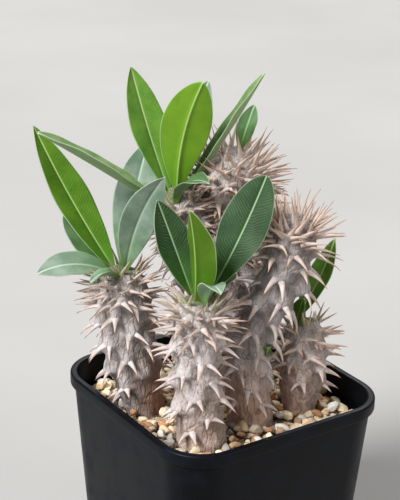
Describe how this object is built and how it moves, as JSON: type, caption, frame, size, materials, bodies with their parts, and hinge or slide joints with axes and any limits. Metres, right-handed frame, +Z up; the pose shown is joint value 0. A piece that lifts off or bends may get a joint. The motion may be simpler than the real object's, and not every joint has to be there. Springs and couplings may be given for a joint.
{
  "type": "potted pachypodium densiflorum",
  "caption": "Small succulent shrub with upright spiny grey stems and folded green leaves, planted in gravel in a square black plastic nursery pot.",
  "frame": {"origin": "middle of the pot's flat base, on the surface it stands on", "axes": "+Z up; the pot's straight sides lie along X and Y"},
  "size_m": [0.1034, 0.1009, 0.1935],
  "materials": {
    "pot_plastic": "moulded black plastic, satin, slightly dusty, brighter on the rounded lip",
    "soil": "dark gritty potting mix, hidden under the gravel",
    "gravel": "washed cream, tan and grey angular gravel, matt",
    "bark": "matt silvery grey bark, fissured and bumpy, with tan tipped spines",
    "leaf": "waxy green blade with a pale midrib and a thin whitish margin"
  },
  "bodies": {
    "root": {"pot": "pot_plastic", "soil": "soil", "gravel": "gravel", "leaf_left_1": "leaf", "leaf_left_2": "leaf", "leaf_left_3": "leaf", "leaf_left_4": "leaf", "leaf_left_5": "leaf", "leaf_left_6": "leaf", "leaf_front_1": "leaf", "leaf_front_2": "leaf", "leaf_front_3": "leaf", "leaf_front_4": "leaf", "leaf_front_5": "leaf", "leaf_back_1": "leaf", "leaf_right_1": "leaf", "leaf_right_2": "leaf", "leaf_branch_1": "leaf", "leaf_branch_2": "leaf", "leaf_branch_3": "leaf", "leaf_branch_4": "leaf", "leaf_branch_5": "leaf", "leaf_branch_6": "leaf", "stem_left": "bark", "stem_front": "bark", "stem_middle": "bark", "stem_back": "bark", "stem_right": "bark"}
  },
  "joints": []
}
